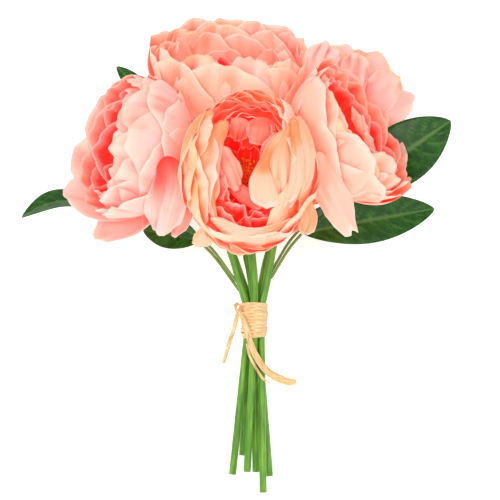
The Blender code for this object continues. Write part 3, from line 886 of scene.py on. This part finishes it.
petals("front", "inner", PETAL_CORAL, 14, [
    lobe((-4.5, 80, 74, 6.5), (-6.6, 73, 75, 8.2), (-8, 66.5, 71, 6), outer=0.34, bow=3.5, lump=1.3,
         crease=1.3),
    lobe((7, 80.5, 75, 7), (6.8, 73.5, 76, 8.8), (5, 66.5, 71, 6.5), outer=0.40, bow=3.5, lump=1.3,
         crease=1.3),
    lobe((20, 70.5, 80, 4.5), (13, 61.7, 79, 6), (8.3, 53, 75, 4), outer=0.34, bow=2),
    lobe((-18.5, 62, 82, 5.5), (-13.2, 50.5, 84, 7.8), (-7.4, 37, 81, 6), outer=0.06, bow=4, lump=1.3,
         tip=0.3, crease=1.0),
    lobe((-12, 41, 76, 3.5), (-3, 33, 80, 5), (7.6, 26, 79, 3.5), outer=0.44, bow=2.5),
    lobe((-19.4, 32.6, 79, 3), (-14.4, 27.2, 80, 4.2), (-7, 23, 79, 3.5), outer=0.75, bow=2.5),
    (36, 21, 12, 130), (318, 25, 12, 146, {"outer": 0.42, "flare": 12}), (300, 20, 11, 122),
    (60, 22, 12, 136),
    (112, 23, 12, 150, {"outer": 0.24, "lump": 1.4}),
    (128, 20, 12, 140, {"outer": 0.36}), (158, 22, 12, 140, {"outer": 0.85, "flare": 20}),
    (188, 23, 12, 128, {"outer": 0.95, "flare": 20}), (206, 18, 10, 140), (236, 20, 12, 124),
    (276, 18, 11, 120), (110, 14, 9, 116), (340, 14, 9, 112), (20, 13, 9, 110), (250, 13, 9, 112),
], FRONT_STRETCH, inner=0.62, outer=0.34, foot=4.0, floor=4.0, ruffle=2.0, pleat=1.0, gold=0.1,
       rows=24, columns=23)

# The left flower looks away to the left. Azimuth 0 is up, 90 away, 180 down and 270 towards the
# front. Two guards have fallen open below its mouth, and two more hang from its lower side.

petals("left", "guard", PETAL_PINK, 21, [
    (322, 42, 24, 66, {"flare": 10, "lump": 1.5}), (228, 42, 28, 62, {"flare": 4, "lump": 1.3}),
    (298, 43, 18, 50, {"flare": 12}), (338, 43, 16, 46, {"flare": 12}),
    (282, 41.5, 30, 88, {"lump": 1.4}), (352, 41, 26, 84), (250, 41, 30, 96), (306, 41, 26, 104),
    (24, 40, 30, 100), (64, 46, 34, 92, {"inner": 0.24}), (98, 51, 36, 86, {"inner": 0.08}),
    (204, 42, 26, 100, {"flare": 12}),
    (128, 49, 27, 94, {"flare": 12, "inner": -0.1, "depth": 0.5}),
    (158, 66, 33, 60, {"flare": 6, "inner": -0.15, "depth": 0.4}),
    (190, 60, 15, 44, {"inner": 0.10, "gold": 1.0}),
    lobe((-50.5, 57.5, 72, 8), (-49.2, 42.5, 71, 10.5), (-52.4, 26.7, 62, 10), (-56, 14.5, 51, 8.5),
         bow=6, lump=2.0, crease=2.0, tip=0.2, crown=0.2, outer=0.16, notch=0.05, depth=1.0),
    lobe((-41, 37.4, 62, 4), (-41.6, 23.7, 60, 6.5), (-48, 9.5, 50, 5), outer=0.46, gold=0.8),
], inner=0.40, outer=0.02, gold=0.4, ruffle=1.9)
petals("left", "outer", PETAL_PINK, 22, [
    (270, 37.5, 26, 122, {"gold": 0.3, "lump": 1.3}), (294, 36.5, 24, 132), (238, 37, 26, 118),
    (322, 38, 24, 108), (336, 36.5, 24, 118), (256, 35, 24, 136, {"gold": 0.6}), (212, 37, 26, 116),
    (358, 37, 26, 110), (30, 37, 30, 108), (70, 36, 32, 107), (112, 37, 32, 104),
    (150, 37, 28, 104), (184, 38, 24, 104, {"flare": 14}),
], inner=0.52, outer=-0.02, floor=1.0, gold=0.6, ruffle=1.9, crease=1.1)
petals("left", "middle", PETAL_PINK, 23, [
    (290, 33, 20, 142), (262, 32, 20, 144), (236, 31, 20, 136), (314, 32, 20, 136), (340, 31, 20, 126),
    (8, 31, 22, 118), (44, 31, 26, 110), (88, 31, 28, 106), (132, 31, 26, 108),
    (160, 29, 20, 118), (186, 30, 20, 120), (212, 30, 20, 128),
], inner=0.85, outer=0.30, floor=2.5, ruffle=2.0)
petals("left", "inner", PETAL_CORAL, 24, [
    *ring(7, 20, 23, 12, 114, 241), *ring(6, 40, 18, 9, 108, 242),
    *ring(6, 70, 14, 5, 96, 243, tip=0.5, inner=0.2, outer=0.1),
], inner=1.0, outer=0.44, foot=4.0, floor=4.0, ruffle=2.0, pleat=1.2, gold=0.1, rows=22, columns=21)

# The right flower looks up to the right. Azimuth 0 is up, 90 towards the front, 180 down to the
# right. A ragged guard hangs from its lower side, and small pale petals stand up in its mouth.

petals("right", "guard", PETAL_PEACH, 31, [
    (96, 42, 30, 86, {"lump": 1.3}), (62, 41, 30, 100, {"lump": 1.2}), (28, 41, 28, 92),
    (358, 40, 30, 102), (325, 43, 30, 96), (288, 47, 32, 90), (252, 47, 32, 88),
    (218, 45, 28, 88, {"gold": 1.0}),
    (186, 42, 28, 88, {"flare": 12, "gold": 0.9}), (146, 42, 30, 92, {"flare": 10}), (120, 41, 28, 106),
    lobe((41, 60, 66, 7), (46.5, 41, 67, 10), (54.5, 25.5, 61, 9.5), (64, 11, 50, 6),
         bow=5, lump=1.8, crease=1.8, tip=0.35, notch=0.12, outer=0.0, depth=0.2, gold=0.0),
], inner=0.48, outer=0.02, gold=0.3, ruffle=2.0)
petals("right", "outer", PETAL_PEACH, 32, [
    (100, 38, 28, 102, {"gold": 1.0, "lump": 1.4}), (72, 38, 28, 106, {"lump": 1.2}),
    (128, 37, 26, 108, {"gold": 1.0}), (44, 37, 26, 106), (14, 37, 26, 106), (346, 36, 26, 106),
    (316, 36, 26, 105), (284, 37, 26, 104), (252, 37, 26, 102), (222, 38, 26, 100), (192, 38, 26, 102),
    (164, 38, 26, 106), (146, 36, 22, 122),
], inner=0.62, outer=0.04, floor=1.0, gold=0.5, ruffle=2.0)
petals("right", "middle", PETAL_PEACH, 33, [
    (84, 31, 20, 116), (112, 31, 20, 114), (56, 31, 20, 112), (28, 31, 20, 110), (0, 31, 20, 110),
    (330, 30, 20, 110), (300, 30, 20, 108), (270, 31, 20, 106), (240, 31, 20, 106), (210, 31, 20, 108),
    (180, 31, 20, 108), (150, 31, 20, 110),
], inner=1.0, outer=0.24, floor=2.5, ruffle=2.0)
TIPLET = {
    "outer": -0.2, "inner": -0.2, "depth": 0.0, "bow": 1.0, "tip": 0.5, "ruffle": 0.8, "lump": 0.4,
}
petals("right", "inner", PETAL_CORAL, 34, [
    *ring(6, 20, 18, 12, 108, 341), *ring(5, 40, 14, 8, 104, 343),
    lobe((69, 74, 46, 2), (66.1, 82.3, 53, 2.8), (63.3, 89.4, 58, 1.6), **TIPLET),
    lobe((73.4, 67.7, 46, 2), (71.1, 76.1, 53, 2.8), (69.6, 84.5, 57, 1.6), **TIPLET),
    lobe((77.1, 61.4, 46, 2), (74.3, 67.4, 52, 2.6), (71.5, 74, 56, 1.6), **TIPLET),
    lobe((80.3, 56.4, 46, 2), (77.4, 59.9, 52, 2.6), (73.4, 64.1, 56, 1.6), **TIPLET),
    lobe((71, 72.5, 47, 2), (68.5, 78.6, 54, 2.4), (67, 85.3, 58, 1.6), **TIPLET),
], inner=1.0, outer=0.85, foot=4.0, floor=4.0, ruffle=2.0, pleat=1.2, gold=0.1, rows=22, columns=21)

# The top flower looks up. Azimuth 0 is away, 90 left, 180 towards the front and 270 right. Its
# petals are the palest, broad, and much creased.

petals("top", "guard", PETAL_PEACH, 41, [
    (0, 49, 34, 104), (30, 48, 28, 106), (62, 46, 30, 104), (96, 44, 30, 102), (134, 43, 32, 106),
    (176, 43, 36, 110), (220, 43, 32, 106), (262, 44, 28, 104), (296, 47, 22, 104, {"pleat": 1.6}),
    (330, 49, 30, 105),
], inner=0.06, outer=-0.02, gold=0.3, ruffle=2.4, crease=1.2)
petals("top", "outer", PETAL_PINK, 42, [
    (14, 45, 28, 108), (344, 45, 28, 110), (46, 43, 26, 108), (314, 43, 24, 110), (80, 41, 26, 108),
    (112, 40, 26, 112, {"gold": 1.2}), (152, 40, 28, 118), (196, 40, 30, 118), (232, 40, 26, 114),
    (278, 41, 22, 108),
], inner=0.04, outer=0.04, floor=1.0, gold=0.9, ruffle=2.4, crease=1.2)
petals("top", "middle", PETAL_PEACH, 43, [
    (8, 41, 34, 112, {"gold": 1.2}), (328, 40, 28, 114), (48, 39, 30, 114, {"gold": 0.8}),
    (352, 36, 28, 116), (24, 35, 24, 118, {"gold": 1.0}), (300, 36, 22, 116), (68, 35, 22, 118),
    *ring(7, 100, 33, 20, 126, 431)[:5], *ring(5, 10, 27, 24, 124, 432),
], inner=0.06, outer=0.10, floor=2.5, ruffle=2.4, crease=1.3, lump=1.3)
petals("top", "inner", PETAL_CORAL, 44, [
    *ring(7, 20, 23, 13, 118, 441), *ring(6, 50, 16, 10, 108, 442),
], inner=0.66, outer=0.40, foot=4.0, floor=4.0, ruffle=2.0, pleat=1.2, gold=0.1, rows=20, columns=19)


def back_head(name, finish, seed, radius, first, *loose):
    """A head at the back of the bunch: rings of petals set out evenly, and any loose guards."""
    petals(name, "guard", finish, seed, [
        *loose,
        *ring(7, first, radius * 0.85, radius * 0.72, 104, seed),
        *ring(7, first + 25, radius * 0.87, radius * 0.50, 74, seed + 7),
    ], inner=0.30, outer=0.14, gold=0.9, ruffle=3.0, lump=2.0, crease=2.2)
    petals(name, "outer", finish, seed + 1, [
        *ring(6, first + 20, radius * 0.79, radius * 0.66, 116, seed + 1),
        *ring(6, first + 50, radius * 0.72, radius * 0.58, 124, seed + 2),
    ], inner=0.36, outer=0.14, floor=1.0, ruffle=2.2)
    petals(name, "middle", finish, seed + 2, [
        *ring(7, first, radius * 0.64, radius * 0.46, 126, seed + 3),
        *ring(7, first + 30, radius * 0.54, radius * 0.38, 122, seed + 4),
    ], inner=0.54, outer=0.28, floor=2.5)
    petals(name, "inner", PETAL_CORAL, seed + 3, [
        *ring(6, first + 15, radius * 0.44, radius * 0.30, 116, seed + 5),
        *ring(5, first + 45, radius * 0.34, radius * 0.22, 106, seed + 6),
    ], inner=0.72, outer=0.44, foot=4.0, floor=4.0, ruffle=2.0, pleat=1.2, rows=20, columns=19)


# The back right head opens towards the top, so three loose guards show above the right flower.
LOOSE_GUARD = {"depth": 0.1, "ruffle": 2.4, "crease": 1.8, "lump": 1.6, "bow": 4}

back_head("back_left", PETAL_PEACH, 51, 41.0, 15)
back_head(
    "back_right", PETAL_PINK, 61, 43.0, 40,
    lobe((47, 92, -8, 9), (44, 108, 0, 12), (46, 123, 0, 12), (51, 134, -6, 9), outer=0.12, gold=0.1,
         **LOOSE_GUARD),
    lobe((74, 92, -26, 10), (86, 104, -14, 12.5), (94, 117, -12, 11), outer=0.04, gold=1.6,
         **LOOSE_GUARD),
    lobe((60, 96, -20, 10), (66, 112, -10, 12), (69, 129, -8, 10), outer=0.06, gold=0.6,
         **LOOSE_GUARD),
)


# ---- Stamens ----
# A tuft of short threads in the heart of each flower, each tipped with a dusty orange anther. They
# grow from the same foot as the petals, close at the middle, and lean out more towards the side.

THREADS = 46
THREAD_SIDES = 6
THREAD_FOOT = 9.0
THREAD_LENGTH = 21.0
TUFT_RADIUS = 4.0
TUFT_LEAN = 0.42
GOLDEN_ANGLE = math.pi * (3 - math.sqrt(5))

# How thick a thread is at each point, and how far the points of its anther stand past its tip
THREAD_RADII = [0.28] * 5 + [0.34, 0.95, 0.9, 0.4]
ANTHER_STEPS = (0.7, 1.6, 2.2)


def stamen_finish():
    """Yellow threads, and anthers with dark specks in their orange dust."""
    shading = Shading("stamen", 0.7)
    place = shading.node("NewGeometry").outputs["Position"]
    dust = shading.noise(place, 900, 3.0, 0.6)
    tip = shading.attribute("tip")["Fac"]
    thread = shading.ramp(dust, [(0.35, "FFB838"), (0.65, "FFDC80")])
    anther = shading.ramp(dust, [(0.40, "4A1C08"), (0.46, "FF8A08"), (0.7, "FFB838")])
    return shading.finish(shading.mix(tip, thread, anther), None, dust, 0.5, 0.0002)


STAMEN = stamen_finish()


def stamens(name, seed):
    """Threads set out in a spiral, each a thin bent tube that swells into its anther."""
    dice = np.random.default_rng(seed)
    sheaf = Sheaf()
    for k in range(THREADS):
        angle = GOLDEN_ANGLE * k
        spread = math.sqrt((k + 0.5) / THREADS)
        height = THREAD_LENGTH - 5.0 * spread + dice.uniform(-1.5, 1.5)
        outward = Vector((math.cos(angle), math.sin(angle), 0))
        start = outward * spread * TUFT_RADIUS + Vector((0, 0, THREAD_FOOT))
        path = []
        for t in np.linspace(0, 1, 6):
            path.append(
                start + outward * (spread * TUFT_LEAN * height * t * t) + Vector((0, 0, height * t))
            )
        ahead = (path[-1] - path[-2]).normalized()
        path += [path[-1] + ahead * step for step in ANTHER_STEPS]
        sides, normals = travelling_frames(path, (1, 0, 0.1))
        rows, uv, tip = [], [], []
        for n, (place, radius) in enumerate(zip(path, THREAD_RADII)):
            row, row_uv = [], []
            for c in range(THREAD_SIDES):
                turned = 2 * math.pi * c / THREAD_SIDES
                around = sides[n] * math.cos(turned) + normals[n] * math.sin(turned)
                row.append(place + around * radius)
                row_uv.append((c / THREAD_SIDES, n / 8))
            rows.append(row)
            uv.append(row_uv)
            tip.append([1.0 if n >= 5 else 0.0] * THREAD_SIDES)
        sheaf.grid(rows, uv, closed_round=True, tip=tip)
    sheaf.piece(
        f"{name}_stamen_tuft", STAMEN, f"{name}_stamens", LAID @ FRAMES[name]
    )


for number, head in enumerate(HEADS):
    stamens(head, 100 + number)


# ---- Leaves ----
# Dark glossy leaves on slim stalks, folded along the midrib, with side veins that curve to the tip.
# The underside is paler and bluer. Each stalk grows out of the side of a stem above the tie.

PETIOLE_RADIUS = 1.15
STALK_SIDES = 10
BLADE_ROWS = 44
BLADE_COLUMNS = 17
BLADE_FOLD = 0.24
BLADE_WAVE = 0.09
VEIN_PAIRS = 9
RIB_HALF_WIDTH = 0.7
RIB_HEIGHT = 0.25

# name: (stem it grows from, how far up that stem, base of the blade, tip, half width, arch, facing)
LEAVES = {
    "right_lower": ("right", 0.645, (34, 11, 3), (121, 27, -11), 15.2, 5.0, (0.0, 0.10, 1.0)),
    "right_inner": ("right", 0.665, (33, 14, -5), (53, 29, -20), 7.0, 3.0, (0.3, -0.4, 0.9)),
    "right_upper": ("back_right", 0.72, (66, 38, -24), (132, 85, -15), 20.0, 5.0, (0.1, 0.2, 1.0)),
    "left_lower": ("left", 0.57, (-33, 6, -5), (-70, 13, -9), 9.5, 4.0, (0.0, 0.15, 1.0)),
    "left_inner": ("left", 0.60, (-33, 9, 4), (-57, 22, 0), 6.0, 3.0, (-0.2, -0.5, 0.9)),
    "left_outer": ("back_left", 0.66, (-86, 20, -20), (-149, 21, -3), 11.0, 28.0, (0.0, 0.80, 0.6)),
    "top_left": ("top", 0.80, (-52, 82, -12), (-88, 121, -18), 8.0, 2.0, (0.2, 0.35, 0.9)),
    "back_low": ("back_left", 0.60, (-14, 2, -30), (-26, 42, -70), 12.0, 5.0, (0.1, -0.7, -0.7)),
    "back_side": ("back_right", 0.64, (28, 18, -32), (66, 28, -70), 12.0, 5.0, (0.2, -0.7, -0.6)),
}


def leaf_finish():
    """Waxy green, mottled, with paler veins and a yellow-green stalk."""
    shading = Shading("leaf", 0.38, Specular_IOR_Level=0.32)
    under = shading.attribute("under")["Fac"]
    vein = shading.attribute("vein")["Fac"]
    stalk = shading.attribute("stalk")["Fac"]
    place = shading.node("UVMap").outputs["UV"]
    fine = shading.noise(place, 14.0, 5.0, 0.6)
    broad = shading.noise(place, 3.0, 2.0, 0.5)
    both = shading.math("ADD", shading.math("MULTIPLY", fine, 0.5),
                        shading.math("MULTIPLY", broad, 0.5))
    top = shading.ramp(both, [(0.32, "0E3806"), (0.5, "1B5410"), (0.68, "38761E")])
    below = shading.ramp(both, [(0.32, "2F5A2A"), (0.5, "467A3C"), (0.68, "6A9A5C")])
    skin = shading.mix(under, top, below)
    skin = shading.mix(shading.math("MULTIPLY", vein, 0.55), skin, rgb("6F9A4A"))
    skin = shading.mix(stalk, skin, shading.ramp(both, [(0.35, "4F7A26"), (0.6, "8FA557")]))
    rough = shading.math("MULTIPLY_ADD", fine, 0.3, 0.22)
    return shading.finish(skin, rough, both, 0.35, 0.0004)


LEAF = leaf_finish()


def along_path(path, share):
    """The point at this share of a path's length, and the way that the path heads there."""
    lengths = [(b - a).length for a, b in zip(path, path[1:])]
    left = share * sum(lengths)
    for a, b, length in zip(path, path[1:], lengths):
        if left <= length:
            return a.lerp(b, left / length), (b - a).normalized()
        left -= length
    return path[-1], (path[-1] - path[-2]).normalized()


def leaf(name, seed):
    """A stalk and a blade: the blade folds along its midrib and waves along its margins."""
    grows_from, share, base, tip, half_width, arch, facing = LEAVES[name]
    base, tip, facing = Vector(base), Vector(tip), Vector(facing).normalized()
    joint, stem_direction = along_path(stem_path(grows_from), share)
    outward = base - joint
    outward = (outward - stem_direction * outward.dot(stem_direction)).normalized()
    start = joint + outward * (STEM_RADIUS_HIGH + PETIOLE_RADIUS * 0.6) + stem_direction * 2.0
    bend = start.lerp(base, 0.5) + stem_direction * 3.0
    middle = base.lerp(tip, 0.5) + facing * arch
    sheaf = Sheaf()
    stalk = smooth_route([joint + outward * (STEM_RADIUS_HIGH - 0.5), start, bend, base], 6)
    radii = [1.5, 1.4, 1.25, 1.1] + [0.95] * (len(stalk) - 4) + [0.5]
    swept_tube(
        sheaf, [*stalk, base.lerp(middle, 0.10)], radii, STALK_SIDES, under=0.0, vein=0.0, stalk=1.0
    )
    phase = np.random.default_rng(seed).uniform(0, 6.28)
    top, bottom, uv, vein = [], [], [], []
    for t in np.linspace(0, 1, BLADE_ROWS):
        place = base * (1 - t) ** 2 + middle * 2 * t * (1 - t) + tip * t * t
        ahead = ((middle - base) * (1 - t) + (tip - middle) * t).normalized()
        side = ahead.cross(facing).normalized()
        normal = side.cross(ahead)
        width = half_width * max(0.012, math.sin(math.pi * min(1, t**1.02)) ** 0.72)
        row_top, row_bottom, row_uv, row_vein = [], [], [], []
        for u in np.linspace(-1, 1, BLADE_COLUMNS):
            fold = BLADE_FOLD * abs(u) * width
            wave = BLADE_WAVE * width * u * u * math.sin(9 * t + phase + 2.2 * u)
            rib = max(0.0, 1 - abs(u) * width / RIB_HALF_WIDTH)
            chevron = (t * VEIN_PAIRS - abs(u) * 1.5 * (0.6 + 0.4 * abs(u))) % 1.0
            line = max(0.0, 1 - abs(chevron - 0.5) * 9) * min(1.0, abs(u) * 8) * (1 - abs(u)) ** 0.3
            spot = place + side * (u * width) + normal * (fold + wave - RIB_HEIGHT * rib)
            quilt = 0.22 * math.sin(math.pi * chevron) * (1 - abs(u)) * min(1.0, width / 4)
            thick = 0.10 + 0.12 * (1 - abs(u)) + RIB_HEIGHT * rib * (1 - t)
            row_top.append(spot + normal * (thick + quilt))
            row_bottom.append(spot - normal * (thick - quilt))
            row_uv.append((u * width / 20 + seed, t * (tip - base).length / 20))
            row_vein.append(max(rib, line * 0.8))
        top.append(row_top)
        bottom.append(row_bottom)
        uv.append(row_uv)
        vein.append(row_vein)
    first = sheaf.count
    sheaf.grid(top, uv, under=0.0, vein=vein, stalk=0.0)
    second = sheaf.count
    sheaf.grid(bottom, uv, flip=True, under=1.0, vein=vein, stalk=0.0)
    close_skins(sheaf, first, second, BLADE_ROWS, BLADE_COLUMNS)
    sheaf.piece(f"{name}_leaf_blade", LEAF, f"{name}_leaf")


for number, name in enumerate(LEAVES):
    leaf(name, number)


# ---- Raffia tie ----
# One long strip of raffia wound twelve times round the stems, a little askew, each turn lapping the
# last, and knotted at its upper left.

WINDINGS = 12
WINDING_MARGIN = 1.2
WINDING_CLEARANCE = 0.95
WINDING_BITE = 0.2
WINDING_POINTS = 49

# (half across, half up, turn about Z) of the bights that cross in the knot
KNOT_BIGHTS = ((1.5, 2.6, 0.5), (1.7, 2.1, -0.6), (1.2, 2.9, 0.1))
KNOT_TWIST = 0.9


def raffia_windings():
    """Turns set evenly up the tie. Each lies a little higher or lower on the ones beside it."""
    lowest, highest = TIE_BOTTOM_Y + WINDING_MARGIN, TIE_TOP_Y - WINDING_MARGIN
    low_reach = RING_RADIUS_BOTTOM + STEM_RADIUS_LOW + WINDING_CLEARANCE
    high_reach = RING_RADIUS_TOP + STEM_RADIUS_HIGH + WINDING_CLEARANCE
    sheaf = Sheaf()
    for turn in range(WINDINGS):
        middle = (turn + 0.5) / WINDINGS
        height = lowest + (highest - lowest) * middle
        reach = low_reach + (high_reach - low_reach) * middle
        tilt = 0.10 + 0.07 * math.sin(turn * 2.3)
        path = []
        for angle in np.linspace(0, 2 * math.pi, WINDING_POINTS):
            far = reach - WINDING_BITE + 0.22 * math.sin(2 * angle + turn) + 0.22 * (turn * 7 % 3)
            path.append(Vector((
                TIE_CENTRE_X + far * math.cos(angle),
                height + tilt * reach * math.cos(angle + 0.4 * turn),
                far * math.sin(angle),
            )))
        torn_strip(sheaf, path, 1.3, 0.0, (0, 1, 0), taper=1.0, thick=0.14, curl=0.32)
    sheaf.piece("raffia_windings", RAFFIA, "raffia_binding")


def raffia_knot():
    """Short bights of the strip crossed over each other."""
    middle = middle_of("raffia_knot")
    sheaf = Sheaf()
    for wide, tall, tilt in KNOT_BIGHTS:
        path = []
        for angle in np.linspace(0, 2 * math.pi, 25):
            spot = Vector((
                wide * math.cos(angle), tall * math.sin(angle), KNOT_TWIST * math.sin(2 * angle)
            ))
            path.append(middle + Matrix.Rotation(tilt, 3, "Z") @ spot)
        torn_strip(sheaf, path, 1.0, 0.6, (0, 0, 1), taper=1.0, curl=0.3)
    sheaf.piece("raffia_knot_bights", RAFFIA, "raffia_knot")


raffia_windings()
raffia_knot()


# ---- Studio ----
# A plain pale floor, and broad soft lights: a key from the left, a fill from the right and a front
# light from below the heads, under an even white sky.

FLOOR_HALF = 3.0
FLOOR_GLOW = 0.5
SKY_STRENGTH = 0.62
LIGHTS_AIM = Vector((0, 0.03, 0.08))
BOUNCES = 24

# name, place, size, power
LIGHTS = (
    ("key", (-0.7, -0.2, 1.5), 0.55, 7.0),
    ("fill", (0.9, -0.4, 1.1), 1.0, 2.6),
    ("front", (0.0, -0.55, 1.4), 0.6, 4.6),
)


def studio():
    """The floor, the sky and the lights, with enough bounces for light to reach between petals."""
    data = bpy.data.meshes.new("floor")
    corners = [(x * FLOOR_HALF, y * FLOOR_HALF, 0) for x, y in ((-1, -1), (1, -1), (1, 1), (-1, 1))]
    data.from_pydata(corners, [], [(0, 1, 2, 3)])
    shading = Shading("floor", 0.9, Emission_Color=(1, 1, 1, 1), Emission_Strength=FLOOR_GLOW)
    speck = shading.noise(shading.node("NewGeometry").outputs["Position"], 40, 2.0)
    data.materials.append(shading.finish(shading.ramp(speck, [(0.3, "FCFCFC"), (0.7, "FFFFFF")])))
    floor = bpy.data.objects.new("floor", data)
    bpy.context.scene.collection.objects.link(floor)
    world = bpy.data.worlds.new("studio")
    world.use_nodes = True
    sky = world.node_tree.nodes["Background"].inputs
    sky["Color"].default_value = (1, 1, 1, 1)
    sky["Strength"].default_value = SKY_STRENGTH
    bpy.context.scene.world = world
    for name, place, size, power in LIGHTS:
        lamp = bpy.data.lights.new(name, "AREA")
        lamp.size = size
        lamp.energy = power
        made = bpy.data.objects.new(name, lamp)
        bpy.context.scene.collection.objects.link(made)
        made.location = place
        made.rotation_euler = (LIGHTS_AIM - Vector(place)).to_track_quat("-Z", "Y").to_euler()
    bpy.context.scene.view_settings.view_transform = "Standard"
    bpy.context.scene.cycles.max_bounces = BOUNCES
    bpy.context.scene.cycles.diffuse_bounces = BOUNCES


studio()
